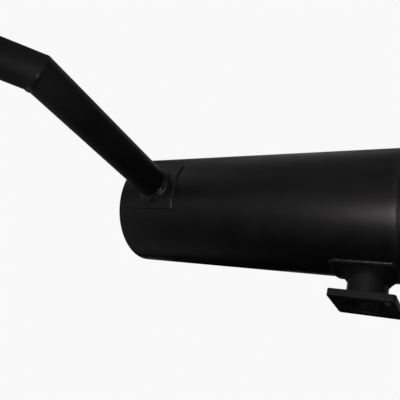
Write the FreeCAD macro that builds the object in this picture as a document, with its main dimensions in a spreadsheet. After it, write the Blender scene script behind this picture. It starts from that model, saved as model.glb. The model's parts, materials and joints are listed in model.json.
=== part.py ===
import FreeCAD, Part
import Sketcher
import os

# Welded steel exhaust muffler for a small vehicle: a closed drum with a short flanged inlet
# neck on its underside and a mitred tailpipe that leaves sideways near its other end.
# Frame: origin at the centre of the inlet flange's gasket face, +Z up the neck into the drum,
# +X along the drum towards its inlet end; the tailpipe leaves the drum towards -Y.

SIZES = {
    # drum
    "body_radius": 70,
    "shell_wall": 1.5,
    "axis_height": 104,
    "outlet_rim_reach": 305,
    "inlet_seam_reach": 33,
    "cap_skirt": 14,
    "cap_corner": 6,
    "recess_depth": 10,
    "recess_corner": 4,
    "lip_inset": 1.5,
    "press_gap": 0.1,
    "seam_angle": 50,
    # inlet neck and flange
    "neck_radius": 20,
    "neck_wall": 2,
    "neck_inside": 12,
    "neck_recess": 1.5,
    "flange_length": 64,
    "flange_width": 56,
    "flange_thickness": 7,
    "flange_corner": 3,
    "bolt_pitch_long": 47,
    "bolt_pitch_short": 40,
    "bolt_hole_radius": 4.5,
    # saddle plates
    "inlet_saddle_length": 62,
    "inlet_saddle_width": 47,
    "inlet_saddle_shift": -3,
    "inlet_saddle_corner": 4,
    "inlet_saddle_thickness": 2.5,
    "outlet_saddle_length": 62,
    "outlet_saddle_width": 62,
    "outlet_saddle_corner": 3,
    "outlet_saddle_thickness": 1.5,
    "hole_gap": 0.2,
    # tailpipe
    "outlet_reach": 255,
    "tailpipe_radius": 19,
    "tailpipe_wall": 1.5,
    "tailpipe_inside": 20,
    "mitre_reach": 273,
    "bend_angle": 45,
    "tip_length": 100,
    "sized_length": 45,
    "sizing": 0.25,
    # inside the drum
    "baffle_gap": 0.25,
    "baffle_skirt": 10,
    "inlet_baffle_reach": 65,
    "outlet_baffle_reach": 185,
    "transfer_radius": 16,
    "transfer_wall": 1.2,
    "transfer_offset": 31,
    "transfer_overhang": 20,
    "vent_radius": 2.5,
    "vent_rows": 8,
    "vent_margin": 14,
    # welds
    "seam_weld_width": 3.2,
    "seam_weld_height": 1,
    "saddle_weld_width": 3,
    "saddle_weld_height": 2,
    "neck_weld_leg": 9,
    "base_weld_leg": 5,
    "flange_weld_leg": 3,
    "mitre_weld_width": 5,
    "mitre_weld_height": 0.6,
    "tube_weld_leg": 2,
    "tack_length": 3,
    "tack_angle": 10,
}

X_DIR = FreeCAD.Vector(1, 0, 0)
Y_DIR = FreeCAD.Vector(0, 1, 0)
Z_DIR = FreeCAD.Vector(0, 0, 1)

doc = FreeCAD.newDocument("exhaust_muffler")
sheet = doc.addObject("Spreadsheet::Sheet", "Sizes")
for row, (alias, value) in enumerate(SIZES.items(), start=1):
    sheet.set(f"A{row}", alias)
    sheet.set(f"B{row}", str(value))
    sheet.setAlias(f"B{row}", alias)
doc.recompute()

subparts = []


def size(alias):
    """One driving dimension, read from the sheet."""
    return float(sheet.get(alias))


def bind(obj, expressions):
    """Ties properties to expressions, in which braces mark a cell of the sheet."""
    for name, text in expressions.items():
        obj.setExpression(name, text.replace("{", "Sizes.").replace("}", ""))
    return obj


def place(obj, start, direction=Z_DIR):
    """Moves the object's own origin to start and turns its Z axis to direction."""
    obj.Placement = FreeCAD.Placement(FreeCAD.Vector(), FreeCAD.Rotation(Z_DIR, direction))
    return bind(obj, {f"Placement.Base.{axis}": text for axis, text in zip("xyz", start)})


def rod(name, radius, length, start, direction=Z_DIR):
    """A solid cylinder from start along direction."""
    made = doc.addObject("Part::Cylinder", name)
    bind(made, {"Radius": radius, "Height": length})
    return place(made, start, direction)


def join(kind, name, *pieces):
    """A Part::MultiFuse or a Part::MultiCommon of the pieces."""
    made = doc.addObject(kind, name)
    made.Shapes = list(pieces)
    return made


def cut(name, base, *tools):
    """The base with every tool removed from it."""
    made = doc.addObject("Part::Cut", name)
    made.Base = base
    made.Tool = tools[0] if len(tools) == 1 else join("Part::MultiFuse", name + "_tools", *tools)
    return made


def tube(name, radius, wall, length, start, direction=Z_DIR):
    """A round tube of the given outer radius and wall."""
    outside = rod(name + "_outside", radius, length, start, direction)
    inside = rod(name + "_inside", f"{radius} - {wall}", length, start, direction)
    return cut(name, outside, inside)


def keep(obj, label):
    """Records a finished sub-part under the name of its file."""
    obj.Label = label
    subparts.append(obj)
    return obj


def sketch_on(body, name, role):
    """An empty sketch on one of the body's own origin planes."""
    made = body.newObject("Sketcher::SketchObject", name)
    support = next(item for item in body.Origin.OriginFeatures if item.Role == role)
    made.AttachmentSupport = [(support, "")]
    made.MapMode = "FlatFace"
    return made


def pin(sketch, geometry, point, across, up):
    """Holds one point of a sketch at two expressions measured from the sketch's origin."""
    for kind, text in (("DistanceX", across), ("DistanceY", up)):
        index = sketch.addConstraint(Sketcher.Constraint(kind, -1, 1, geometry, point, 1.0))
        bind(sketch, {f"Constraints[{index}]": text})


def draw_outline(sketch, corners):
    """A closed outline with straight sides; each corner is a pair of expressions."""
    count = len(corners)
    for index in range(count):
        start = FreeCAD.Vector(index, index * index, 0)
        end = FreeCAD.Vector(index + 1, (index + 1) * (index + 1), 0)
        sketch.addGeometry(Part.LineSegment(start, end), False)
    for index in range(count):
        sketch.addConstraint(Sketcher.Constraint("Coincident", index, 2, (index + 1) % count, 1))
    for index, (across, up) in enumerate(corners):
        pin(sketch, index, 1, across, up)


def draw_circle(sketch, radius, across, up):
    """A circle of the given radius, its centre a pair of expressions."""
    index = sketch.addGeometry(Part.Circle(FreeCAD.Vector(1, 1, 0), Z_DIR, 1), False)
    pin(sketch, index, 3, across, up)
    last = sketch.addConstraint(Sketcher.Constraint("Radius", index, 1.0))
    bind(sketch, {f"Constraints[{last}]": radius})


def pad(body, name, sketch, length):
    """The sketch pushed out by length."""
    made = body.newObject("PartDesign::Pad", name)
    made.Profile = sketch
    return bind(made, {"Length": length})


def round_edges(body, name, feature, radius, chosen):
    """Rounds every edge of the feature that the test chooses."""
    doc.recompute()
    edges = enumerate(feature.Shape.Edges, start=1)
    made = body.newObject("PartDesign::Fillet", name)
    made.Base = (feature, [f"Edge{number}" for number, edge in edges if chosen(edge)])
    bind(made, {"Radius": radius})
    body.Tip = made
    return made


def is_upright(edge):
    """True for a straight edge along the body's own Z axis."""
    if not isinstance(edge.Curve, Part.Line):
        return False
    return abs(edge.Curve.Direction.z) > 0.99


def rounded_block(name, length, width, height, corner, start=("0", "0", "0"), direction=Z_DIR):
    """A block centred on its own Z axis, with its four upright edges rounded."""
    body = doc.addObject("PartDesign::Body", name)
    outline = sketch_on(body, name + "_outline", "XY_Plane")
    sides = [(-1, -1), (1, -1), (1, 1), (-1, 1)]
    draw_outline(outline, [(f"{x} * {length} / 2", f"{y} * {width} / 2") for x, y in sides])
    solid = pad(body, name + "_pad", outline, height)
    round_edges(body, name + "_corners", solid, corner, is_upright)
    return place(body, start, direction)


def dished_disc(name, radius, wall, depth, corner, across):
    """A pressed disc with a turned skirt: the skirt's open edge at across, the face at its far side."""
    body = doc.addObject("PartDesign::Body", name)
    profile = sketch_on(body, name + "_profile", "XZ_Plane")
    inner = f"{radius} - {wall}"
    draw_outline(profile, [
        ("0", inner),
        ("0", radius),
        (depth, radius),
        (depth, "0"),
        (f"{depth} - {wall}", "0"),
        (f"{depth} - {wall}", inner),
    ])
    turned = body.newObject("PartDesign::Revolution", name + "_turned")
    turned.Profile = profile
    turned.ReferenceAxis = (profile, ["H_Axis"])
    turned.Angle = 360
    doc.recompute()
    box = turned.Shape.BoundBox

    def is_outer_corner(edge):
        return abs(edge.BoundBox.XMin - box.XMax) < 0.01 and abs(edge.BoundBox.ZMax - box.ZMax) < 0.01

    round_edges(body, name + "_outer_corner", turned, corner, is_outer_corner)
    inside = body.Tip

    def is_inner_corner(edge):
        inner_face = box.XMax - size("shell_wall")
        inner_skirt = box.ZMax - size("shell_wall")
        flat = abs(edge.BoundBox.XMin - inner_face) < 0.01 and edge.BoundBox.XLength < 0.01
        return flat and abs(edge.BoundBox.ZMax - inner_skirt) < 0.01

    round_edges(body, name + "_inner_corner", inside, f"{corner} - {wall}", is_inner_corner)
    return place(body, (across, "0", "{axis_height}"))


# ---------------------------------------------------------------- drum

DRUM_START = ("-{outlet_rim_reach}", "0", "{axis_height}")
DRUM_LENGTH = "{outlet_rim_reach} + {inlet_seam_reach}"
NECK_FOOT = ("0", "0", "0")
OUTLET_AXIS = ("-{outlet_reach}", "0", "{axis_height}")


def drum_layer(name, radius, height):
    """A sleeve that lies on the drum's surface, height thick, along the whole shell."""
    return tube(name, f"{radius} + {height}", height, DRUM_LENGTH, DRUM_START, X_DIR)


rolled_shell = tube("rolled_shell", "{body_radius}", "{shell_wall}", DRUM_LENGTH, DRUM_START, X_DIR)
neck_hole = rod("neck_hole", "{neck_radius} + {hole_gap}", "{axis_height}", NECK_FOOT)
outlet_hole = rod(
    "outlet_hole", "{tailpipe_radius} + {hole_gap}", "2 * {body_radius}", OUTLET_AXIS, -Y_DIR)
keep(cut("body_shell", rolled_shell, neck_hole, outlet_hole), "body_shell")

# The rolled sheet is closed by one straight butt weld on the side away from the tailpipe.
bead_layer = drum_layer("shell_bead_layer", "{body_radius}", "{seam_weld_height}")
bead_strip = doc.addObject("Part::Box", "shell_bead_strip")
bind(bead_strip, {
    "Length": DRUM_LENGTH + " - {seam_weld_width}",
    "Width": "{seam_weld_width}",
    "Height": "2 * {body_radius}",
})
place(bead_strip, DRUM_START)
bead_strip.Placement.Rotation = FreeCAD.Rotation(X_DIR, -size("seam_angle"))
keep(join("Part::MultiCommon", "shell_seam_weld", bead_layer, bead_strip), "shell_seam_weld")

inlet_cap = dished_disc(
    "inlet_end_cap", "{body_radius}", "{shell_wall}", "{cap_skirt}", "{cap_corner}",
    "{inlet_seam_reach}")
keep(inlet_cap, "inlet_end_cap")
inlet_cap_bead = tube(
    "inlet_end_cap_weld", "{body_radius} + {seam_weld_height}", "{seam_weld_height}",
    "{seam_weld_width}", ("{inlet_seam_reach} - {seam_weld_width} / 2", "0", "{axis_height}"), X_DIR)
keep(inlet_cap_bead, "inlet_end_cap_weld")

PRESSED_RADIUS = "{body_radius} - {shell_wall} - {press_gap}"
outlet_cap = dished_disc(
    "outlet_end_cap", PRESSED_RADIUS, "{shell_wall}", "{recess_depth}", "{recess_corner}",
    "{lip_inset} - {outlet_rim_reach}")
keep(outlet_cap, "outlet_end_cap")
outlet_cap_bead = tube(
    "outlet_end_cap_weld", "{body_radius} - {shell_wall}", "{shell_wall} + {press_gap}",
    "{lip_inset}", DRUM_START, X_DIR)
keep(outlet_cap_bead, "outlet_end_cap_weld")


# ---------------------------------------------------------------- saddle plates

def saddle_plate(name, length, width, corner, thickness, start, direction, hole_start, hole_radius):
    """A sheet patch rolled to the drum, with rounded corners and a hole for its tube."""
    layer = drum_layer(name + "_layer", "{body_radius}", thickness)
    block = rounded_block(name + "_block", length, width, "2 * {body_radius}", corner, start, direction)
    patch = join("Part::MultiCommon", name + "_patch", layer, block)
    hole = rod(name + "_hole", hole_radius, "2 * {body_radius}", hole_start, direction)
    return cut(name, patch, hole)


def border_bead(name, length, width, corner, start, direction):
    """The fillet weld that runs round a saddle plate, on the drum's surface."""
    grow = "2 * {saddle_weld_width}"
    layer = drum_layer(name + "_layer", "{body_radius}", "{saddle_weld_height}")
    outside = rounded_block(
        name + "_outside", f"({length} + {grow})", f"({width} + {grow})", "2 * {body_radius}",
        f"{corner} + {{saddle_weld_width}}", start, direction)
    inside = rounded_block(name + "_inside", length, width, "2 * {body_radius}", corner, start, direction)
    frame = join("Part::MultiCommon", name + "_frame", layer, outside)
    return cut(name, frame, inside)


INLET_SADDLE = ("{inlet_saddle_length}", "{inlet_saddle_width}", "{inlet_saddle_corner}")
INLET_SADDLE_AT = ("{inlet_saddle_shift}", "0", "{axis_height}")
INLET_AXIS = ("0", "0", "{axis_height}")
OUTLET_SADDLE = ("{outlet_saddle_length}", "{outlet_saddle_width}", "{outlet_saddle_corner}")
NECK_RADIUS = "{neck_radius}"
TAILPIPE_RADIUS = "{tailpipe_radius}"

inlet_saddle = saddle_plate(
    "inlet_saddle_plate", *INLET_SADDLE, "{inlet_saddle_thickness}", INLET_SADDLE_AT, -Z_DIR,
    INLET_AXIS, NECK_RADIUS)
keep(inlet_saddle, "inlet_saddle_plate")
keep(border_bead("inlet_saddle_weld", *INLET_SADDLE, INLET_SADDLE_AT, -Z_DIR), "inlet_saddle_weld")

outlet_saddle = saddle_plate(
    "outlet_saddle_plate", *OUTLET_SADDLE, "{outlet_saddle_thickness}", OUTLET_AXIS, -Y_DIR,
    OUTLET_AXIS, TAILPIPE_RADIUS)
keep(outlet_saddle, "outlet_saddle_plate")
keep(border_bead("outlet_saddle_weld", *OUTLET_SADDLE, OUTLET_AXIS, -Y_DIR), "outlet_saddle_weld")


def saddle_fillet_weld(name, plate_radius, tube_radius, leg, centre, direction):
    """The weld in the corner between a tube and the round plate that it stands on.

    The tube and the plate are joined as solids, their meeting edge is filled by a chamfer,
    and both are taken away again, which leaves the bead.
    """
    reach = tube_radius + leg * 3
    plate = Part.makeCylinder(plate_radius, reach * 2, centre - X_DIR * reach, X_DIR)
    stub = Part.makeCylinder(tube_radius, plate_radius + leg * 2, centre, direction)
    joined = plate.fuse(stub)
    meeting = []
    for edge in joined.Edges:
        middle = edge.valueAt((edge.FirstParameter + edge.LastParameter) / 2) - centre
        off_tube = (middle - direction * middle.dot(direction)).Length
        off_drum = (middle - X_DIR * middle.x).Length
        if abs(off_tube - tube_radius) < 0.01 and abs(off_drum - plate_radius) < 0.01:
            meeting.append(edge)
    bead = doc.addObject("Part::Feature", name)
    bead.Shape = joined.makeChamfer(leg, meeting).cut(joined)
    return bead


# ---------------------------------------------------------------- inlet neck

neck_tube = tube(
    "inlet_neck_tube", NECK_RADIUS, "{neck_wall}",
    "{axis_height} - {body_radius} + {shell_wall} + {neck_inside} - {neck_recess}",
    ("0", "0", "{neck_recess}"))
keep(neck_tube, "inlet_neck_tube")
neck_weld = saddle_fillet_weld(
    "inlet_neck_weld", size("body_radius") + size("inlet_saddle_thickness"), size("neck_radius"),
    size("neck_weld_leg"), Z_DIR * size("axis_height"), -Z_DIR)
keep(neck_weld, "inlet_neck_weld")

flange_block = rounded_block(
    "flange_block", "{flange_length}", "{flange_width}", "{flange_thickness}", "{flange_corner}")
flange_holes = flange_block.newObject("PartDesign::Pocket", "flange_holes")
hole_sketch = sketch_on(flange_block, "flange_hole_sketch", "XY_Plane")
draw_circle(hole_sketch, "{neck_radius} + {press_gap}", "0", "0")
for x, y in [(-1, -1), (1, -1), (1, 1), (-1, 1)]:
    draw_circle(
        hole_sketch, "{bolt_hole_radius}", f"{x} * {{bolt_pitch_long}} / 2",
        f"{y} * {{bolt_pitch_short}} / 2")
flange_holes.Profile = hole_sketch
flange_holes.Type = "ThroughAll"
flange_holes.Reversed = True
flange_block.Tip = flange_holes
keep(flange_block, "inlet_flange")

flange_cone = doc.addObject("Part::Cone", "flange_cone")
bind(flange_cone, {
    "Radius1": "{neck_radius} + {flange_weld_leg}",
    "Radius2": "{neck_radius} + {press_gap}",
    "Height": "{flange_weld_leg}",
})
place(flange_cone, ("0", "0", "{flange_thickness}"))
flange_cone_bore = rod(
    "flange_cone_bore", NECK_RADIUS, "{flange_weld_leg}", ("0", "0", "{flange_thickness}"))
keep(cut("inlet_flange_weld", flange_cone, flange_cone_bore), "inlet_flange_weld")

# ---------------------------------------------------------------- tailpipe

BEND_DIR = FreeCAD.Rotation(Z_DIR, -size("bend_angle")).multVec(-Y_DIR)
MITRE_DIR = FreeCAD.Rotation(Z_DIR, -size("bend_angle") / 2).multVec(-Y_DIR)
MITRE_POINT = ("-{outlet_reach}", "-{mitre_reach}", "{axis_height}")
LOWER_LENGTH = "{mitre_reach} - {body_radius} + {shell_wall} + {tailpipe_inside}"
LOWER_START = (
    "-{outlet_reach}", "-({body_radius} - {shell_wall} - {tailpipe_inside})", "{axis_height}")


def mitre_wedge(name, direction):
    """A thick round block that fills the space beyond the mitre plane along direction."""
    return rod(name, "3 * {tailpipe_radius}", "3 * {tailpipe_radius}", MITRE_POINT, direction)


def lower_run(name, radius):
    """The straight run from inside the drum to the mitre, cut off square to the mitre plane."""
    reach = LOWER_LENGTH + " + 2 * {tailpipe_radius}"
    whole = rod(name + "_whole", radius, reach, LOWER_START, -Y_DIR)
    return cut(name, whole, mitre_wedge(name + "_wedge", MITRE_DIR))


def upper_run(name, radius, length="{tip_length}"):
    """The straight run that leaves the mitre, length measured from the mitre point."""
    whole = rod(name + "_whole", radius, f"{length} + 2 * {{tailpipe_radius}}", MITRE_POINT, BEND_DIR)
    back = BEND_DIR * size("tailpipe_radius") * 2
    bind(whole, {
        "Placement.Base.x": f"-{{outlet_reach}} - ({back.x})",
        "Placement.Base.y": f"-{{mitre_reach}} - ({back.y})",
    })
    return cut(name, whole, mitre_wedge(name + "_wedge", -MITRE_DIR))


def sized_run(name, radius):
    """The upper run, whose last stretch is squeezed a little smaller to take a sleeve."""
    plain = upper_run(name + "_plain", radius, "({tip_length} - {sized_length})")
    sized = upper_run(name + "_sized", f"{radius} - {{sizing}}")
    return join("Part::MultiFuse", name, plain, sized)


def hollow(name, run):
    """One run of the tailpipe with its bore."""
    inside = run(name + "_inside", "{tailpipe_radius} - {tailpipe_wall}")
    return cut(name, run(name + "_outside", TAILPIPE_RADIUS), inside)


keep(hollow("tailpipe_lower", lower_run), "tailpipe_lower")
keep(hollow("tailpipe_upper", sized_run), "tailpipe_upper")
base_weld = saddle_fillet_weld(
    "tailpipe_base_weld", size("body_radius") + size("outlet_saddle_thickness"),
    size("tailpipe_radius"), size("base_weld_leg"),
    Z_DIR * size("axis_height") - X_DIR * size("outlet_reach"), -Y_DIR)
keep(base_weld, "tailpipe_base_weld")

# The mitre weld is the skin round both runs, kept only near the mitre plane.
WELD_RADIUS = "{tailpipe_radius} + {mitre_weld_height}"
mitre_skin = cut(
    "mitre_skin",
    join("Part::MultiFuse", "mitre_skin_outside",
         lower_run("skin_lower", WELD_RADIUS), upper_run("skin_upper", WELD_RADIUS)),
    lower_run("core_lower", TAILPIPE_RADIUS), upper_run("core_upper", TAILPIPE_RADIUS))
mitre_slab = rod("mitre_slab", "3 * {tailpipe_radius}", "{mitre_weld_width}", MITRE_POINT, MITRE_DIR)
half_width = MITRE_DIR / 2
bind(mitre_slab, {
    "Placement.Base.x": f"-{{outlet_reach}} - {{mitre_weld_width}} * ({half_width.x})",
    "Placement.Base.y": f"-{{mitre_reach}} - {{mitre_weld_width}} * ({half_width.y})",
})
keep(join("Part::MultiCommon", "tailpipe_mitre_weld", mitre_skin, mitre_slab), "tailpipe_mitre_weld")

# ---------------------------------------------------------------- inside the drum

BAFFLE_RADIUS = "{body_radius} - {shell_wall} - {baffle_gap}"
BAFFLES = {"inlet_baffle": "inlet_baffle_reach", "outlet_baffle": "outlet_baffle_reach"}
TRANSFER_TUBES = {"near_transfer_tube": -1, "far_transfer_tube": 1}
TRANSFER_START = "-{outlet_baffle_reach} - {transfer_overhang}"
TRANSFER_LENGTH = "({outlet_baffle_reach} - {inlet_baffle_reach} + 2 * {transfer_overhang})"


def transfer_place(side, across):
    """A point on the axis of one transfer tube."""
    return (across, f"{side} * {{transfer_offset}}", "{axis_height}")


for name, reach in BAFFLES.items():
    disc = dished_disc(
        name + "_disc", BAFFLE_RADIUS, "{shell_wall}", "{baffle_skirt}", "{recess_corner}",
        f"-{{{reach}}}")
    holes = [
        rod(f"{name}_hole_{tube_name}", "{transfer_radius} + {press_gap}", TRANSFER_LENGTH,
            transfer_place(side, TRANSFER_START), X_DIR)
        for tube_name, side in TRANSFER_TUBES.items()
    ]
    keep(cut(name, disc, *holes), name)


def perforated_tube(name, side):
    """A transfer tube whose middle stretch is drilled through in three directions."""
    body = doc.addObject("PartDesign::Body", name)
    section = sketch_on(body, name + "_section", "YZ_Plane")
    draw_circle(section, "{transfer_radius}", "0", "0")
    draw_circle(section, "{transfer_radius} - {transfer_wall}", "0", "0")
    pad(body, name + "_pad", section, TRANSFER_LENGTH)
    first = "({transfer_overhang} + {baffle_skirt} + {vent_margin})"
    for turn in (0, 60, 120):
        vent = sketch_on(body, f"{name}_vent_{turn}", "XY_Plane")
        vent.AttachmentOffset = FreeCAD.Placement(FreeCAD.Vector(), FreeCAD.Rotation(X_DIR, turn))
        draw_circle(vent, "{vent_radius}", first, "0")
        drilled = body.newObject("PartDesign::Pocket", f"{name}_drilled_{turn}")
        drilled.Profile = vent
        drilled.Type = "ThroughAll"
        drilled.Midplane = True
        doc.recompute()
        row = body.newObject("PartDesign::LinearPattern", f"{name}_row_{turn}")
        row.Originals = [drilled]
        row.Direction = (vent, ["H_Axis"])
        bind(row, {"Length": TRANSFER_LENGTH + f" - 2 * {first}", "Occurrences": "{vent_rows}"})
        body.Tip = row
    return place(body, transfer_place(side, TRANSFER_START))


for name, side in TRANSFER_TUBES.items():
    keep(perforated_tube(name, side), name)


def collar_weld(name, side, across):
    """The ring weld on a baffle's flat face round a transfer tube."""
    cone = doc.addObject("Part::Cone", name + "_cone")
    bind(cone, {
        "Radius1": "{transfer_radius} + {tube_weld_leg}",
        "Radius2": "{transfer_radius} + {press_gap}",
        "Height": "{tube_weld_leg}",
    })
    place(cone, transfer_place(side, across), X_DIR)
    bore = rod(name + "_bore", "{transfer_radius}", "{tube_weld_leg}", transfer_place(side, across), X_DIR)
    return cut(name, cone, bore)


tube_welds = [
    collar_weld(f"{baffle}_{tube_name}_weld", side, f"{{baffle_skirt}} - {{{reach}}}")
    for baffle, reach in BAFFLES.items()
    for tube_name, side in TRANSFER_TUBES.items()
]
keep(join("Part::MultiFuse", "transfer_tube_welds", *tube_welds), "transfer_tube_welds")


def tack(name, reach, turn):
    """A short weld at a baffle skirt's open edge, against the inside of the shell."""
    pieces = []
    for part_name, radius in (("outer", "{body_radius} - {shell_wall}"),
                              ("inner", "{body_radius} - 2 * {shell_wall} - {baffle_gap}")):
        piece = rod(
            f"{name}_{part_name}", radius, "{tack_length}",
            (f"-{{{reach}}} - {{tack_length}}", "0", "{axis_height}"), X_DIR)
        bind(piece, {"Angle": "{tack_angle}"})
        turned = FreeCAD.Rotation(X_DIR, turn).multiply(FreeCAD.Rotation(Z_DIR, X_DIR))
        piece.Placement.Rotation = turned
        pieces.append(piece)
    return cut(name, *pieces)


tacks = [
    tack(f"{baffle}_tack_{turn}", reach, turn)
    for baffle, reach in BAFFLES.items()
    for turn in (40, 130, 220, 310)
]
keep(join("Part::MultiFuse", "baffle_tack_welds", *tacks), "baffle_tack_welds")

# ---------------------------------------------------------------- checks and files

doc.recompute()
for obj in doc.Objects:
    if "Invalid" in obj.State or "Error" in obj.State:
        raise RuntimeError(f"{obj.Name} failed: {obj.State}")
for obj in subparts:
    if obj.Shape.isNull() or not obj.Shape.isValid() or not obj.Shape.Solids:
        raise RuntimeError(f"{obj.Label} has no valid solid")

os.makedirs("parts", exist_ok=True)
for obj in subparts:
    obj.Shape.exportStep(f"parts/{obj.Label}.step")
    box = obj.Shape.BoundBox
    print(
        f"{obj.Label:24s} {len(obj.Shape.Solids):2d} solids {obj.Shape.Volume / 1000:9.2f} cm3  "
        f"X {box.XMin:8.2f} {box.XMax:8.2f}  Y {box.YMin:8.2f} {box.YMax:8.2f}  "
        f"Z {box.ZMin:8.2f} {box.ZMax:8.2f}")
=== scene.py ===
import json
import math

import bmesh
import bpy
from mathutils import Matrix, Vector, noise


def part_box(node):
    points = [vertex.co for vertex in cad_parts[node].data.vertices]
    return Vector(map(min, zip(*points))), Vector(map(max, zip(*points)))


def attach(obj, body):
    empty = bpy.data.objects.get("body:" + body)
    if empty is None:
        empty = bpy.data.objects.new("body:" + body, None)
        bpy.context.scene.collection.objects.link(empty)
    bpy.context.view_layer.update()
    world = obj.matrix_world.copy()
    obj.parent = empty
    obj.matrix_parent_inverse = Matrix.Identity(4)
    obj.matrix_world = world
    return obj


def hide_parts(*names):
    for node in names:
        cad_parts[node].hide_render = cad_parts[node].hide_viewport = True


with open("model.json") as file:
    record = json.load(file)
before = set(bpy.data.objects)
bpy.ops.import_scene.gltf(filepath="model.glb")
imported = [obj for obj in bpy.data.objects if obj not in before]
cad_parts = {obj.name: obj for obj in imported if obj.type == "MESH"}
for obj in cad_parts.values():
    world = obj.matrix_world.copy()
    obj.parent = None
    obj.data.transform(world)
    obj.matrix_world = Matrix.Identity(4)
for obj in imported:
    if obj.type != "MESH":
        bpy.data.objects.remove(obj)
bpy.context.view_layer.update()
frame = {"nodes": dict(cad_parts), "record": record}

# ---- Drum shell
# A steel sheet rolled into a cylinder, with holes cut for the neck and the tailpipe.
# It is sprayed with heat-resistant satin black, which dries with a fine orange peel. In a
# narrow band beside the inlet cap's weld it is glossier, and painted greyer as a painted highlight.

nodes = frame["nodes"]
PAINT_DARK = (0.0055, 0.0055, 0.006, 1)
PAINT_WORN = (0.010, 0.0098, 0.0102, 1)
DUST = (0.055, 0.052, 0.048, 1)

shell_low, shell_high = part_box("body_shell")
drum_radius = (shell_high.z - shell_low.z) / 2
drum_axis_z = (shell_high.z + shell_low.z) / 2


def new_material(name):
    """An empty node material with its Principled shader."""
    made = bpy.data.materials.new(name)
    made.use_nodes = True
    shader = made.node_tree.nodes["Principled BSDF"]
    return made, made.node_tree, shader


def add(tree, kind, **settings):
    """One shader node, with its settings and unlinked inputs filled in by name."""
    made = tree.nodes.new(kind)
    for name, value in settings.items():
        if hasattr(made, name):
            setattr(made, name, value)
        else:
            made.inputs[name.replace("_", " ")].default_value = value
    return made


def grain(tree, scale, detail, roughness=0.5):
    """Noise over the object's own coordinates, in metres."""
    place = add(tree, "ShaderNodeTexCoord")
    made = add(tree, "ShaderNodeTexNoise", Scale=scale, Detail=detail, Roughness=roughness)
    tree.links.new(place.outputs["Object"], made.inputs["Vector"])
    return made.outputs["Fac"]


def spread(tree, value, low, high, to_low, to_high):
    """Maps a value from one range to another, held at the ends."""
    made = add(tree, "ShaderNodeMapRange")
    for name, number in (("From Min", low), ("From Max", high), ("To Min", to_low), ("To Max", to_high)):
        made.inputs[name].default_value = number
    tree.links.new(value, made.inputs["Value"])
    return made.outputs["Result"]


def blend_colour(tree, factor, first, second):
    """Mixes two colours, each a tuple or a socket, by a factor socket."""
    made = add(tree, "ShaderNodeMix", data_type="RGBA")
    tree.links.new(factor, made.inputs[0])
    for socket, colour in ((made.inputs[6], first), (made.inputs[7], second)):
        if isinstance(colour, tuple):
            socket.default_value = colour
        else:
            tree.links.new(colour, socket)
    return made.outputs[2]


def bump(tree, height, strength, depth, below=None):
    """Turns a height into a surface normal, on top of another bump."""
    made = add(tree, "ShaderNodeBump", Strength=strength, Distance=depth)
    tree.links.new(height, made.inputs["Height"])
    if below is not None:
        tree.links.new(below, made.inputs["Normal"])
    return made.outputs["Normal"]


def satin_paint(name, smooth, rough, peel, dust, film=0.0):
    """Heat-resistant black: blotchy gloss, orange peel and specks of settled dust.

    film is how much of an even pale film lies over the paint.
    """
    made, tree, shader = new_material(name)
    link = tree.links.new
    blotch = grain(tree, 14, 3)
    paint = blend_colour(tree, spread(tree, blotch, 0.35, 0.7, 0, 1), PAINT_DARK, PAINT_WORN)
    specks = spread(tree, grain(tree, 900, 2, 0.6), 0.66, 0.74, film, dust)
    link(blend_colour(tree, specks, paint, DUST), shader.inputs["Base Color"])
    link(spread(tree, grain(tree, 38, 4), 0.3, 0.7, smooth, rough), shader.inputs["Roughness"])
    slow = bump(tree, grain(tree, 60, 2), 0.10, 0.0006)
    fine = bump(tree, grain(tree, 1300, 2), peel, 0.00012, slow)
    link(fine, shader.inputs["Normal"])
    shader.inputs["IOR"].default_value = 1.5
    return made


def dress(node, material):
    """Gives a CAD node its finish."""
    nodes[node].data.materials.clear()
    nodes[node].data.materials.append(material)


# The band's lighter grey is a painted highlight.
PAINTED_HIGHLIGHT_BAND = (0.011, 0.011, 0.0125, 1)
BAND_FADE_START = 0.009
BAND_FADE_END = 0.004
BAND_SHEEN = 0.62
shell_paint = satin_paint("shell_satin_black", smooth=0.34, rough=0.44, peel=0.35, dust=0.30)
shell_tree = shell_paint.node_tree
shell_colour = shell_tree.nodes["Principled BSDF"].inputs["Base Color"]
shell_place = add(shell_tree, "ShaderNodeSeparateXYZ")
shell_tree.links.new(add(shell_tree, "ShaderNodeTexCoord").outputs["Object"], shell_place.inputs[0])
# Mask of the painted highlight band; the band also raises the paint's specular level.
in_highlight_band = spread(
    shell_tree, shell_place.outputs["X"],
    shell_high.x - BAND_FADE_START, shell_high.x - BAND_FADE_END, 0, 1)
shell_black = shell_colour.links[0].from_socket
shell_tree.links.new(blend_colour(shell_tree, in_highlight_band, shell_black, PAINTED_HIGHLIGHT_BAND), shell_colour)
shell_tree.links.new(
    spread(shell_tree, in_highlight_band, 0, 1, 0.5, BAND_SHEEN),
    shell_tree.nodes["Principled BSDF"].inputs["Specular IOR Level"])
dress("body_shell", shell_paint)

# ---- Shell seam weld
# One straight butt weld closes the rolled sheet, on the side away from the tailpipe.
# The bead is laid in overlapping scales and painted with the rest.

X_DIR = Vector((1, 0, 0))
SCALE_STEPS = 6
BEAD_SINK = 0.00025
SEAM_HALF_WIDTH = 0.0016
SEAM_SCALE = 0.0026


def scale_height(along, across):
    """The overlapping scales of a bead: steep in front, slow behind, bowed at mid width."""
    bow = 0.35 * (1 - (2 * across - 1) ** 2)
    phase = (along - bow) % 1.0
    return 0.5 - 0.5 * math.cos(2 * math.pi * phase ** 0.7)


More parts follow.
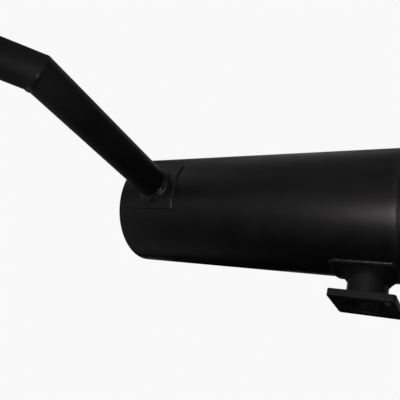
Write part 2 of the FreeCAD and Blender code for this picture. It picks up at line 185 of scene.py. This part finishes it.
def lay_bead(name, stations, closed, crown, ripple, passes=1, ridge=0.0, strips=10):
    """Sweeps a weld bead along stations of (root, toe_a, toe_b, out, lump).

    The toes stand at root + toe_a and root + toe_b, the face swells by crown along out, and
    lump is the height of the random lumps left by an unsteady hand at that station.
    """
    count = len(stations)
    points = []
    for step, (root, toe_a, toe_b, out, lump) in enumerate(stations):
        wander = noise.noise(root * 160)
        swell = 1 + 0.3 * noise.noise(root * 90 + Vector((5, 0, 0)))
        end = 1.0
        if not closed:
            end = math.sqrt(min(1.0, min(step, count - 1 - step) / (3 * SCALE_STEPS) + 0.02))
        for strip in range(strips + 1):
            across = strip / strips
            arch = 4 * across * (1 - across)
            lane = across * passes % 1.0
            lanes = 4 * lane * (1 - lane)
            scale = scale_height(step / SCALE_STEPS + wander, lane)
            flat = root + toe_a * (1 - across) + toe_b * across
            lumps = lump * arch * max(0.0, 0.35 + 2.0 * noise.noise(flat * 300))
            lift = crown * arch + ridge * lanes + ripple * scale * min(arch, lanes)
            width = end * (1 + 0.06 * wander)
            sunk = BEAD_SINK if strip in (0, strips) else 0.0
            toe = (toe_a * (1 - across) + toe_b * across) * width
            points.append(root + toe + out * ((lift * swell + lumps) * end - sunk))
        points.append(root - out * BEAD_SINK * 2)
    ring = strips + 2
    faces = []
    for step in range(count if closed else count - 1):
        here = step * ring
        there = (step + 1) % count * ring
        for side in range(ring):
            turn = (side + 1) % ring
            faces.append((here + side, here + turn, there + turn, there + side))
    if not closed:
        faces.append(tuple(range(ring - 1, -1, -1)))
        faces.append(tuple(range((count - 1) * ring, count * ring)))
    mesh = bpy.data.meshes.new(name)
    mesh.from_pydata([tuple(spot) for spot in points], [], faces)
    return mesh


def finish_mesh(mesh, sharp=50):
    """Turns every face outward and smooths all but the sharp edges."""
    work = bmesh.new()
    work.from_mesh(mesh)
    bmesh.ops.recalc_face_normals(work, faces=work.faces)
    work.to_mesh(mesh)
    work.free()
    mesh.shade_smooth()
    mesh.set_sharp_from_angle(angle=math.radians(sharp))


def fit_piece(name, mesh, material, node):
    """Links a finished piece that stands for one CAD node."""
    finish_mesh(mesh)
    mesh.materials.append(material)
    piece = bpy.data.objects.new(name, mesh)
    bpy.context.scene.collection.objects.link(piece)
    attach(piece, "root")
    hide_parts(node)
    return piece


def steps_for(length, scale):
    """How many stations a bead of this length needs for scales of this size."""
    return max(3, round(length / scale)) * SCALE_STEPS


weld_paint = satin_paint("weld_satin_black", smooth=0.34, rough=0.46, peel=0.20, dust=0.15)

seam_low, seam_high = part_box("shell_seam_weld")
seam_middle = (seam_low + seam_high) / 2
seam_out = Vector((0, seam_middle.y, seam_middle.z - drum_axis_z)).normalized()
seam_side = X_DIR.cross(seam_out) * SEAM_HALF_WIDTH
seam_count = steps_for(seam_high.x - seam_low.x, SEAM_SCALE)
seam_stations = []
for step in range(seam_count + 1):
    x = seam_low.x + (seam_high.x - seam_low.x) * step / seam_count
    root = Vector((x, 0, drum_axis_z)) + seam_out * drum_radius
    seam_stations.append((root, seam_side, -seam_side, seam_out, 0.0))
seam_mesh = lay_bead(
    "shell_seam_bead", seam_stations, closed=False, crown=0.0006, ripple=0.00025, strips=8)
fit_piece("shell_seam_bead", seam_mesh, weld_paint, "shell_seam_weld")

# ---- End caps
# Two discs pressed from sheet, each with a turned skirt. The inlet cap butts against the
# shell's end; the outlet cap is pushed inside the shell, dish outwards.

cap_paint = satin_paint("cap_satin_black", smooth=0.36, rough=0.48, peel=0.40, dust=0.45)
dress("inlet_end_cap", cap_paint)
dress("outlet_end_cap", cap_paint)

# ---- End cap welds
# A ring bead over the inlet cap's butt joint, and a small seal weld that fills the corner
# between the outlet cap's skirt edge and the inside of the shell.

CAP_BEAD_SCALE = 0.0024

def ring_stations(count, centre, axis, radius, toes):
    """Stations round a circle; toes gives (toe_a, toe_b, out) for a radial direction."""
    side = axis.orthogonal().normalized()
    over = axis.cross(side)
    made = []
    for step in range(count):
        turn = 2 * math.pi * step / count
        radial = side * math.cos(turn) + over * math.sin(turn)
        made.append((centre + radial * radius, *toes(radial), 0.0))
    return made


ring_low, ring_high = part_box("inlet_end_cap_weld")
ring_half = (ring_high.x - ring_low.x) / 2
ring_centre = Vector(((ring_high.x + ring_low.x) / 2, 0, drum_axis_z))
ring = ring_stations(
    steps_for(2 * math.pi * drum_radius, CAP_BEAD_SCALE), ring_centre, X_DIR, drum_radius,
    lambda radial: (X_DIR * ring_half, -X_DIR * ring_half, radial))
ring_mesh = lay_bead("inlet_cap_bead", ring, closed=True, crown=0.0005, ripple=0.00014, strips=8)
fit_piece("inlet_cap_bead", ring_mesh, weld_paint, "inlet_end_cap_weld")

seal_low, seal_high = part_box("outlet_end_cap_weld")
seal_radius = (seal_high.z - seal_low.z) / 2
seal_leg = seal_high.x - seal_low.x
seal_centre = Vector((seal_high.x, 0, drum_axis_z))
seal = ring_stations(
    steps_for(2 * math.pi * seal_radius, CAP_BEAD_SCALE), seal_centre, X_DIR, seal_radius,
    lambda radial: (-radial * seal_leg, -X_DIR * seal_leg, (-radial - X_DIR).normalized()))
seal_mesh = lay_bead("outlet_cap_bead", seal, closed=True, crown=0.0002, ripple=0.00015, strips=6)
fit_piece("outlet_cap_bead", seal_mesh, weld_paint, "outlet_end_cap_weld")

# ---- Saddle plates
# Two rolled patches that spread the load of the neck and of the tailpipe over the thin
# shell, each closed all round by a fillet weld.

Y_DIR = Vector((0, 1, 0))
Z_DIR = Vector((0, 0, 1))
saddle_paint = satin_paint("saddle_satin_black", smooth=0.34, rough=0.46, peel=0.40, dust=0.30)
dress("inlet_saddle_plate", saddle_paint)
dress("outlet_saddle_plate", saddle_paint)


def rounded_rectangle(length, width, corner, count):
    """Points and outward directions round a rectangle with rounded corners, evenly spaced."""
    straight_x = length - 2 * corner
    straight_y = width - 2 * corner
    quarter = corner * math.pi / 2
    total = 2 * (straight_x + straight_y) + 4 * quarter
    made = []
    for step in range(count):
        gone = total * step / count
        for side in range(4):
            along = Y_DIR if side % 2 == 0 else -X_DIR
            outward = X_DIR if side % 2 == 0 else Y_DIR
            if side >= 2:
                along = -along
                outward = -outward
            run = straight_y if side % 2 == 0 else straight_x
            reach = length / 2 if side % 2 == 0 else width / 2
            if gone <= run:
                made.append((outward * reach + along * (gone - run / 2), outward))
                break
            gone -= run
            if gone <= quarter:
                angle = gone / corner
                direction = outward * math.cos(angle) + along * math.sin(angle)
                pivot = outward * (reach - corner) + along * (run / 2)
                made.append((pivot + direction * corner, direction))
                break
            gone -= quarter
    return made


def saddle_stations(node, corner, facing, height, leg_at, scale):
    """Stations along the foot of a saddle plate's edge, on the drum's surface.

    leg_at gives the bead's width on the shell for a place on the flat plate.
    """
    low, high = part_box(node)
    across = X_DIR.cross(facing)
    centre = (low + high) / 2
    length = high.x - low.x
    width = abs((high - low).dot(across))
    count = steps_for(2 * (length + width), scale)
    made = []
    for flat, outward in rounded_rectangle(length, width, corner, count):
        depth = math.sqrt(drum_radius ** 2 - flat.y ** 2)
        foot = Vector((centre.x + flat.x, 0, drum_axis_z)) + across * flat.y + facing * depth
        radial = (across * flat.y + facing * depth).normalized()
        around = X_DIR.cross(radial)
        spread_out = (X_DIR * outward.x + around * outward.y).normalized()
        leg = leg_at(flat.x / length, flat.y / width)
        rise = min(height, leg * 0.8)
        made.append((foot, spread_out * leg, radial * rise, (spread_out + radial).normalized(), 0.0))
    return made


saddle_weld_paint = satin_paint(
    "saddle_weld_satin_black", smooth=0.32, rough=0.44, peel=0.20, dust=0.30, film=0.18)
INLET_BEAD_LEG = 0.0030
inlet_frame = saddle_stations(
    "inlet_saddle_plate", corner=0.004, facing=-Z_DIR, height=0.0026,
    leg_at=lambda along, around: INLET_BEAD_LEG, scale=0.0034)
inlet_frame_mesh = lay_bead(
    "inlet_saddle_bead", inlet_frame, closed=True, crown=0.0005, ripple=0.00022)
fit_piece("inlet_saddle_bead", inlet_frame_mesh, saddle_weld_paint, "inlet_saddle_weld")

OUTLET_BEAD_THIN = 0.0004
OUTLET_BEAD_PART = 0.0012
OUTLET_BEAD_FULL = 0.0030


def outlet_bead_leg(along, around):
    """The bead is full only on the lower part of the inlet side, and thin elsewhere."""
    side = min(1.0, max(0.0, (along - 0.44) / 0.04))
    lower = min(1.0, max(0.0, (around + 0.12) / 0.10))
    widest = OUTLET_BEAD_PART + (OUTLET_BEAD_FULL - OUTLET_BEAD_PART) * lower
    return OUTLET_BEAD_THIN + (widest - OUTLET_BEAD_THIN) * side


outlet_frame = saddle_stations(
    "outlet_saddle_plate", corner=0.003, facing=-Y_DIR, height=0.0017,
    leg_at=outlet_bead_leg, scale=0.0030)
outlet_frame_mesh = lay_bead(
    "outlet_saddle_bead", outlet_frame, closed=True, crown=0.0002, ripple=0.0001)
fit_piece("outlet_saddle_bead", outlet_frame_mesh, saddle_weld_paint, "outlet_saddle_weld")

# ---- Inlet neck
# A short length of 40 mm tube, welded through its saddle and into the flange. Outside it
# is painted; its bore is coated with dull soot.

MASK_EDGE = 0.0002
NECK_BORE_RADIUS = 0.018
SOOT_DARK = (0.002, 0.0018, 0.0016, 1)
SOOT_BROWN = (0.015, 0.013, 0.012, 1)


def inside_tube(tree, point, direction, radius):
    """1 where the surface lies nearer to a tube's axis than radius, else 0."""
    place = add(tree, "ShaderNodeTexCoord")
    offset = add(tree, "ShaderNodeVectorMath", operation="SUBTRACT")
    offset.inputs[1].default_value = point
    crossed = add(tree, "ShaderNodeVectorMath", operation="CROSS_PRODUCT")
    crossed.inputs[1].default_value = direction.normalized()
    length = add(tree, "ShaderNodeVectorMath", operation="LENGTH")
    tree.links.new(place.outputs["Object"], offset.inputs[0])
    tree.links.new(offset.outputs[0], crossed.inputs[0])
    tree.links.new(crossed.outputs[0], length.inputs[0])
    return spread(tree, length.outputs["Value"], radius - MASK_EDGE, radius + MASK_EDGE, 1, 0)


def tube_finish(name, point, direction, radius, smooth, rough, film=0.0, sheen=0.5):
    """Satin black outside a tube, dull soot in its bore."""
    made = satin_paint(name, smooth, rough, peel=0.45, dust=0.35, film=film)
    tree = made.node_tree
    shader = tree.nodes["Principled BSDF"]
    link = tree.links.new
    inside = inside_tube(tree, point, direction, radius)
    painted = shader.inputs["Base Color"].links[0].from_socket
    gloss = shader.inputs["Roughness"].links[0].from_socket
    soot = blend_colour(
        tree, spread(tree, grain(tree, 120, 5, 0.6), 0.35, 0.65, 0, 1), SOOT_DARK, SOOT_BROWN)
    link(blend_colour(tree, inside, painted, soot), shader.inputs["Base Color"])
    dull = add(tree, "ShaderNodeMath", operation="MAXIMUM")
    link(gloss, dull.inputs[0])
    link(spread(tree, inside, 0, 1, 0, 0.7), dull.inputs[1])
    link(dull.outputs["Value"], shader.inputs["Roughness"])
    link(spread(tree, inside, 0, 1, sheen, 0.15), shader.inputs["Specular IOR Level"])
    return made


neck_low, neck_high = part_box("inlet_neck_tube")
neck_radius = (neck_high.x - neck_low.x) / 2
neck_finish = tube_finish(
    "neck_paint", Vector((0, 0, 0)), Z_DIR, (neck_radius + NECK_BORE_RADIUS) / 2,
    smooth=0.46, rough=0.58, film=0.10)
dress("inlet_neck_tube", neck_finish)

# ---- Inlet neck weld and tailpipe base weld
# The tubes stand on their saddles in wide fillet welds, built up in several passes, that
# follow the curve where a round tube meets a round drum.

FILLET_SCALE = 0.0030

def saddle_ring(tube_radius, plate_radius, centre, direction, legs, scale, lump_at):
    """Stations along the meeting line of a tube and the round plate that it stands on.

    legs holds the bead's width on the drum's length and on its flanks.
    """
    across = X_DIR.cross(direction)
    count = steps_for(2 * math.pi * tube_radius, scale)
    made = []
    for step in range(count):
        turn = 2 * math.pi * step / count
        outward = X_DIR * math.cos(turn) + across * math.sin(turn)
        side = tube_radius * math.sin(turn)
        depth = math.sqrt(plate_radius ** 2 - side ** 2)
        root = centre + outward * tube_radius + direction * depth
        radial = (across * side + direction * depth).normalized()
        along = (outward - radial * outward.dot(radial)).normalized()
        leg = legs[0] + (legs[1] - legs[0]) * math.sin(turn) ** 2
        lump = lump_at(math.cos(turn), math.sin(turn))
        made.append((root, along * leg, direction * leg, (along + direction).normalized(), lump))
    return made


def plate_radius_of(node, facing):
    """The outer radius of a saddle plate, measured from the drum's axis."""
    low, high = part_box(node)
    axis_point = Vector((0, 0, drum_axis_z))
    return max((low - axis_point).dot(facing), (high - axis_point).dot(facing))


NECK_WELD_LEGS = (0.0092, 0.0064)
NECK_WELD_SHEEN = 0.12
neck_weld_paint = satin_paint("neck_weld_dull_black", smooth=0.50, rough=0.62, peel=0.30, dust=0.15)
neck_weld_shader = neck_weld_paint.node_tree.nodes["Principled BSDF"]
neck_weld_shader.inputs["Specular IOR Level"].default_value = NECK_WELD_SHEEN
neck_ring = saddle_ring(
    neck_radius, plate_radius_of("inlet_saddle_plate", -Z_DIR), Vector((0, 0, drum_axis_z)), -Z_DIR,
    NECK_WELD_LEGS, scale=FILLET_SCALE, lump_at=lambda along, around: 0.0)
neck_ring_mesh = lay_bead(
    "neck_bead", neck_ring, closed=True, crown=-0.0008, ripple=0.00008,
    passes=3, ridge=0.00008, strips=24)
fit_piece("neck_bead", neck_ring_mesh, neck_weld_paint, "inlet_neck_weld")

pipe_low, pipe_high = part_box("tailpipe_lower")
pipe_radius = (pipe_high.z - pipe_low.z) / 2
pipe_x = (pipe_low.x + pipe_high.x) / 2
BASE_LUMP = 0.0008
BASE_WELD_LEGS = (0.0056, 0.0056)
base_weld_paint = satin_paint(
    "base_weld_satin_black", smooth=0.42, rough=0.54, peel=0.30, dust=0.35, film=0.08)


def base_lump(along, around):
    """The bead was started and stopped on its lower inlet side, where it is lumpy."""
    return BASE_LUMP * max(0.08, min(1.0, 2.0 * (0.55 * along + 0.83 * around) - 0.8))


base_ring = saddle_ring(
    pipe_radius, plate_radius_of("outlet_saddle_plate", -Y_DIR), Vector((pipe_x, 0, drum_axis_z)),
    -Y_DIR, BASE_WELD_LEGS, scale=FILLET_SCALE, lump_at=base_lump)
base_ring_mesh = lay_bead(
    "tailpipe_base_bead", base_ring, closed=True, crown=0.0001, ripple=0.00012,
    passes=2, ridge=0.00010, strips=20)
fit_piece("tailpipe_base_bead", base_ring_mesh, base_weld_paint, "tailpipe_base_weld")

# ---- Inlet flange
# A thick plate, cut and drilled, with the neck tube let into its bore. Bolts pull its flat
# underside against a gasket, which wears the paint there to a thin grey; that lighter grey
# is also painted light from below. The holes are painted black inside as painted shade,
# and a bright spot on the wall of one of them is a painted glint.

flange_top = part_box("inlet_flange")[1].z
# Colours of the painted glint, of the gasket face (worn paint and painted light) and of the hole walls
# (painted shade).
PAINTED_GLINT_COLOUR = (0.060, 0.058, 0.052, 1)
GASKET_WEAR_AND_PAINTED_LIGHT = (0.024, 0.0235, 0.023, 1)
HOLE_PAINTED_SHADE = (0.002, 0.002, 0.002, 1)
BOLT_PLACE = (0.0235, 0.0200, 0.0)
BOLT_HOLE_RADIUS = 0.0045
PAINTED_GLINT_PLACE = (0.0235, -0.0155, 0.0020)
PAINTED_GLINT_REACH = 0.0038
PAINTED_GLINT_FADE = 0.0008
HOLE_SHEEN = 0.1
FLANGE_WELD_LEG = 0.003
FLANGE_WELD_SCALE = 0.0026
flange_paint = satin_paint(
    "flange_satin_black", smooth=0.42, rough=0.55, peel=0.55, dust=0.45, film=0.04)
flange_tree = flange_paint.node_tree
flange_colour = flange_tree.nodes["Principled BSDF"].inputs["Base Color"]
flange_place = add(flange_tree, "ShaderNodeTexCoord").outputs["Object"]
split_place = add(flange_tree, "ShaderNodeSeparateXYZ")
from_painted_glint = add(flange_tree, "ShaderNodeVectorMath", operation="DISTANCE")
from_painted_glint.inputs[1].default_value = PAINTED_GLINT_PLACE
flange_tree.links.new(flange_place, split_place.inputs[0])
flange_tree.links.new(flange_place, from_painted_glint.inputs[0])
folded = add(flange_tree, "ShaderNodeVectorMath", operation="ABSOLUTE")
levelled = add(flange_tree, "ShaderNodeVectorMath", operation="MULTIPLY")
levelled.inputs[1].default_value = (1, 1, 0)
from_bolt = add(flange_tree, "ShaderNodeVectorMath", operation="DISTANCE")
from_bolt.inputs[1].default_value = BOLT_PLACE
flange_tree.links.new(flange_place, folded.inputs[0])
flange_tree.links.new(folded.outputs[0], levelled.inputs[0])
flange_tree.links.new(levelled.outputs[0], from_bolt.inputs[0])
# Painted shade: the bolt holes' walls are painted near-black.
hole_painted_shade_mask = spread(
    flange_tree, from_bolt.outputs["Value"], BOLT_HOLE_RADIUS, BOLT_HOLE_RADIUS + MASK_EDGE, 1, 0)
# The gasket face is a lighter grey: paint worn thin by the gasket, and painted light from below.
on_gasket_painted_light = spread(flange_tree, split_place.outputs["Z"], 0.0001, 0.0003, 1, 0)
# Painted glint: a small bright spot on the wall of one bolt hole.
in_painted_glint = spread(
    flange_tree, from_painted_glint.outputs["Value"], PAINTED_GLINT_REACH - PAINTED_GLINT_FADE, PAINTED_GLINT_REACH, 1, 0)
flange_black = flange_colour.links[0].from_socket
flange_face = blend_colour(flange_tree, on_gasket_painted_light, flange_black, GASKET_WEAR_AND_PAINTED_LIGHT)
flange_holed = blend_colour(flange_tree, hole_painted_shade_mask, flange_face, HOLE_PAINTED_SHADE)
flange_tree.links.new(blend_colour(flange_tree, in_painted_glint, flange_holed, PAINTED_GLINT_COLOUR), flange_colour)
flange_tree.links.new(
    spread(flange_tree, hole_painted_shade_mask, 0, 1, 0.5, HOLE_SHEEN),
    flange_tree.nodes["Principled BSDF"].inputs["Specular IOR Level"])
dress("inlet_flange", flange_paint)

flange_ring = ring_stations(
    steps_for(2 * math.pi * neck_radius, FLANGE_WELD_SCALE), Vector((0, 0, flange_top)), Z_DIR, neck_radius,
    lambda radial: (
        radial * FLANGE_WELD_LEG, Z_DIR * FLANGE_WELD_LEG, (radial + Z_DIR).normalized()))
flange_ring_mesh = lay_bead("flange_bead", flange_ring, closed=True, crown=0.0002, ripple=0.0002)
fit_piece("flange_bead", flange_ring_mesh, weld_paint, "inlet_flange_weld")

# ---- Tailpipe
# Two straight lengths of 38 mm tube cut at half the bend's angle and welded together, with
# the tip sized slightly smaller to take a sleeve. The weld's heat has greyed and flaked the
# paint near the mitre.

PIPE_WALL = 0.0015
SIZING_ALLOWANCE = 0.00012
tip_mount = next(m for m in frame["record"]["mounts"] if m["name"] == "tailpipe_end")
tip_direction = Vector(tip_mount["axis"]).normalized()
tip_point = Vector(tip_mount["pos_m"])
mitre_reach = (tip_point.x - pipe_x) / tip_direction.x
mitre_point = tip_point - tip_direction * mitre_reach
HEAT_GREY = (0.026, 0.026, 0.029, 1)
HEAT_FLAKE = (0.10, 0.10, 0.10, 1)


def heat_dull(material, clear, strength, flaked):
    """Greys and flakes the paint round the mitre, fading out at the distance clear from it."""
    tree = material.node_tree
    shader = tree.nodes["Principled BSDF"]
    link = tree.links.new
    far = add(tree, "ShaderNodeVectorMath", operation="DISTANCE")
    far.inputs[1].default_value = mitre_point
    link(add(tree, "ShaderNodeTexCoord").outputs["Object"], far.inputs[0])
    near = spread(tree, far.outputs["Value"], pipe_radius, clear, strength, 0)
    painted = shader.inputs["Base Color"].links[0].from_socket
    gloss = shader.inputs["Roughness"].links[0].from_socket
    flakes = add(tree, "ShaderNodeMath", operation="MULTIPLY")
    link(near, flakes.inputs[0])
    link(spread(tree, grain(tree, 320, 3, 0.6), 0.62, 0.72, 0, flaked), flakes.inputs[1])
    greyed = blend_colour(tree, near, painted, HEAT_GREY)
    link(blend_colour(tree, flakes.outputs["Value"], greyed, HEAT_FLAKE), shader.inputs["Base Color"])
    dull = add(tree, "ShaderNodeMath", operation="MAXIMUM")
    link(gloss, dull.inputs[0])
    link(spread(tree, near, 0, 1, 0, 0.75), dull.inputs[1])
    link(dull.outputs["Value"], shader.inputs["Roughness"])


lower_finish = tube_finish(
    "tailpipe_lower_paint", Vector((pipe_x, 0, drum_axis_z)), Y_DIR, pipe_radius - PIPE_WALL / 2,
    smooth=0.42, rough=0.60)
upper_finish = tube_finish(
    "tailpipe_upper_paint", tip_point, tip_direction,
    pipe_radius - PIPE_WALL / 2 - SIZING_ALLOWANCE, smooth=0.60, rough=0.74, sheen=0.36)
heat_dull(lower_finish, clear=0.070, strength=0.45, flaked=1.0)
heat_dull(upper_finish, clear=0.040, strength=0.30, flaked=0.3)
dress("tailpipe_lower", lower_finish)
dress("tailpipe_upper", upper_finish)

# ---- Tailpipe mitre weld
# A single heavy pass round the oval joint between the two lengths, with a low lump where
# the welder stopped. It is painted with the rest.

MITRE_STOP_DIR = Vector((0.85, 0, -0.53))
MITRE_STOP_HEIGHT = 0.0005
MITRE_HALF_WIDTH = 0.0034
MITRE_SCALE = 0.0028
mitre_weld_paint = satin_paint(
    "mitre_weld_satin_black", smooth=0.28, rough=0.38, peel=0.20, dust=0.30, film=0.15)
mitre_normal = (tip_direction - Y_DIR).normalized()
mitre_stations = []
mitre_count = steps_for(2 * math.pi * pipe_radius, MITRE_SCALE)
for step in range(mitre_count):
    turn = 2 * math.pi * step / mitre_count
    round_lower = Z_DIR * math.cos(turn) + X_DIR * math.sin(turn)
    back = round_lower.dot(mitre_normal) / (-Y_DIR).dot(mitre_normal)
    root = mitre_point + (round_lower + Y_DIR * back) * pipe_radius
    from_mitre = root - mitre_point
    round_upper = (from_mitre - tip_direction * from_mitre.dot(tip_direction)).normalized()
    mitre_out = (round_lower + round_upper).normalized()
    stop = MITRE_STOP_HEIGHT * max(0.0, round_lower.dot(MITRE_STOP_DIR) - 0.8) / 0.2
    mitre_stations.append((
        root, Y_DIR * MITRE_HALF_WIDTH, tip_direction * MITRE_HALF_WIDTH, mitre_out, stop))
mitre_mesh = lay_bead("mitre_bead", mitre_stations, closed=True, crown=0.00060, ripple=0.00004)
fit_piece("mitre_bead", mitre_mesh, mitre_weld_paint, "tailpipe_mitre_weld")

# ---- Inside the drum
# Two flanged baffles divide the drum into three chambers, and two drilled tubes carry
# the gas through both. None of it is painted; the welds are duller than the steel.

STEEL_CLEAN = (0.20, 0.185, 0.17, 1)
STEEL_BROWN = (0.045, 0.036, 0.030, 1)


def bare_steel(name, rough):
    """Unpainted mild steel, browned in patches by heat."""
    made, tree, shader = new_material(name)
    link = tree.links.new
    patches = spread(tree, grain(tree, 45, 5, 0.6), 0.38, 0.62, 0, 1)
    link(blend_colour(tree, patches, STEEL_CLEAN, STEEL_BROWN), shader.inputs["Base Color"])
    gloss = spread(tree, grain(tree, 300, 3), 0.3, 0.7, rough - 0.08, rough + 0.08)
    link(gloss, shader.inputs["Roughness"])
    link(bump(tree, grain(tree, 900, 3), 0.25, 0.0002), shader.inputs["Normal"])
    shader.inputs["Metallic"].default_value = 0.85
    return made


inner_steel = bare_steel("inner_bare_steel", 0.42)
inner_weld = bare_steel("inner_weld_metal", 0.55)
for node in ("inlet_baffle", "outlet_baffle", "near_transfer_tube", "far_transfer_tube"):
    dress(node, inner_steel)
for node in ("transfer_tube_welds", "baffle_tack_welds"):
    dress(node, inner_weld)

# ---- Studio
# A pale floor well below the hanging muffler, a pale surround, a small flash with its spill
# beside the camera, and a tent of soft boxes all round. The lights' powers began as a
# least-squares fit, and were then merged, rounded and adjusted.

FLOOR_MIDDLE = Vector((-0.13, -0.10, -0.42))
FLOOR_RADIUS = 0.85
FLOOR_SIDES = 96
PAPER_DARK = (0.88, 0.88, 0.88, 1)
PAPER_LIGHT = (0.92, 0.92, 0.92, 1)
PAPER_GLOW_DARK = (0.78, 0.78, 0.78, 1)
PAPER_GLOW_LIGHT = (0.80, 0.80, 0.80, 1)
PAPER_GLOW_STRENGTH = 0.9
PAPER_ROUGHNESS = 0.9

floor_mesh = bpy.data.meshes.new("studio_floor")
floor_rim = []
for side in range(FLOOR_SIDES):
    turn = 2 * math.pi * side / FLOOR_SIDES
    floor_rim.append(FLOOR_MIDDLE + Vector((math.cos(turn), math.sin(turn), 0)) * FLOOR_RADIUS)
floor_mesh.from_pydata([tuple(spot) for spot in floor_rim], [], [tuple(range(FLOOR_SIDES))])
floor = bpy.data.objects.new("studio_floor", floor_mesh)
bpy.context.scene.collection.objects.link(floor)
floor_material, floor_tree, floor_shader = new_material("studio_paper")
floor_tree.links.new(
    blend_colour(floor_tree, grain(floor_tree, 6, 2), PAPER_DARK, PAPER_LIGHT),
    floor_shader.inputs["Base Color"])
floor_shader.inputs["Roughness"].default_value = PAPER_ROUGHNESS
floor_tree.links.new(
    blend_colour(floor_tree, grain(floor_tree, 6, 2), PAPER_GLOW_DARK, PAPER_GLOW_LIGHT),
    floor_shader.inputs["Emission Color"])
floor_shader.inputs["Emission Strength"].default_value = PAPER_GLOW_STRENGTH
floor_mesh.materials.append(floor_material)
floor.visible_glossy = False
floor.visible_diffuse = False

STUDIO_TINT = (1.0, 0.935, 0.975)


def soft_light(name, place, target, side, power):
    """A square soft box aimed at a point."""
    data = bpy.data.lights.new(name, "AREA")
    data.shape = "SQUARE"
    data.size = side
    data.energy = power
    data.color = STUDIO_TINT
    lamp = bpy.data.objects.new(name, data)
    lamp.location = place
    lamp.rotation_mode = "QUATERNION"
    lamp.rotation_quaternion = (Vector(target) - Vector(place)).to_track_quat("-Z", "Y")
    lamp.visible_camera = False
    bpy.context.scene.collection.objects.link(lamp)


FLASH_TARGET = (-0.05, -0.05, 0.08)
soft_light("flash", (0.04, -0.51, -0.16), FLASH_TARGET, 0.06, 0.62)
soft_light("flash_low_spill", (-0.06, -0.56, -0.19), FLASH_TARGET, 0.10, 0.06)

TENT_MIDDLE = Vector((-0.12, -0.05, 0.10))
TENT_RADIUS = 1.4
TENT_SIDE = 0.8
TENT_PANELS = (
    ("front_low", -90, -20, 0.50),
    ("front_left", -110, -5, 0.40),
    ("front_high", -95, 25, 0.40),
    ("front_right", -80, 5, 0.20),
    ("right_front", -45, 20, 0.30),
    ("right_side", 30, -5, 0.10),
    ("right_back", 40, 25, 0.20),
    ("back_right", 60, 5, 0.40),
    ("back", 95, 15, 1.20),
    ("back_high", 105, 50, 0.45),
    ("back_left_high", 125, 30, 1.20),
    ("back_left", 145, 10, 0.80),
    ("back_left_low", 155, -40, 0.25),
    ("left_side", -175, -25, 0.70),
    ("left_high", -150, 30, 0.60),
    ("left_low", -140, -15, 0.50),
    ("top_left", -170, 55, 0.35),
    ("top_front_left", -120, 45, 0.20),
    ("top_front", -85, 65, 0.35),
    ("top_back", 140, 70, 0.50),
    ("under", -100, -55, 0.25),
)
for name, turn, rise, power in TENT_PANELS:
    flat = TENT_RADIUS * math.cos(math.radians(rise))
    place = TENT_MIDDLE + Vector((
        flat * math.cos(math.radians(turn)),
        flat * math.sin(math.radians(turn)),
        TENT_RADIUS * math.sin(math.radians(rise))))
    soft_light(f"tent_{name}", place, TENT_MIDDLE, TENT_SIDE, power)

SURROUND_SEEN = (0.947, 0.940, 0.947, 1)
SURROUND_FELT = (0.9, 0.92, 1.0, 1)
SURROUND_FELT_STRENGTH = 0.002

world = bpy.data.worlds.new("studio_surround")
world.use_nodes = True
bpy.context.scene.world = world
surround = world.node_tree
surround.nodes.clear()
seen = surround.nodes.new("ShaderNodeBackground")
seen.inputs["Color"].default_value = SURROUND_SEEN
felt = surround.nodes.new("ShaderNodeBackground")
felt.inputs["Color"].default_value = SURROUND_FELT
felt.inputs["Strength"].default_value = SURROUND_FELT_STRENGTH
ray = surround.nodes.new("ShaderNodeLightPath")
either = surround.nodes.new("ShaderNodeMixShader")
world_out = surround.nodes.new("ShaderNodeOutputWorld")
surround.links.new(ray.outputs["Is Camera Ray"], either.inputs[0])
surround.links.new(felt.outputs[0], either.inputs[1])
surround.links.new(seen.outputs[0], either.inputs[2])
surround.links.new(either.outputs[0], world_out.inputs[0])

# ---- Camera
# It looks up at the drum from beside its inlet end and a little below the flange. Its place,
# sight line, roll and lens are the rounded results of a least-squares perspective fit.

CAMERA_PLACE = Vector((0.1094, -0.4710, -0.1416))
CAMERA_SIGHT = Vector((-0.5334, 0.7391, 0.4115))
CAMERA_ROLL = math.radians(16.80)
CAMERA_LENS = 42.33

camera_data = bpy.data.cameras.new("camera")
camera_data.sensor_width = 36
camera_data.lens = CAMERA_LENS
camera_data.clip_start = 0.02
camera = bpy.data.objects.new("camera", camera_data)
level = CAMERA_SIGHT.to_track_quat("-Z", "Y")
camera.rotation_mode = "QUATERNION"
camera.rotation_quaternion = level @ Matrix.Rotation(CAMERA_ROLL, 3, "Z").to_quaternion()
camera.location = CAMERA_PLACE
bpy.context.scene.collection.objects.link(camera)
bpy.context.scene.camera = camera
bpy.context.scene.view_settings.view_transform = "Standard"
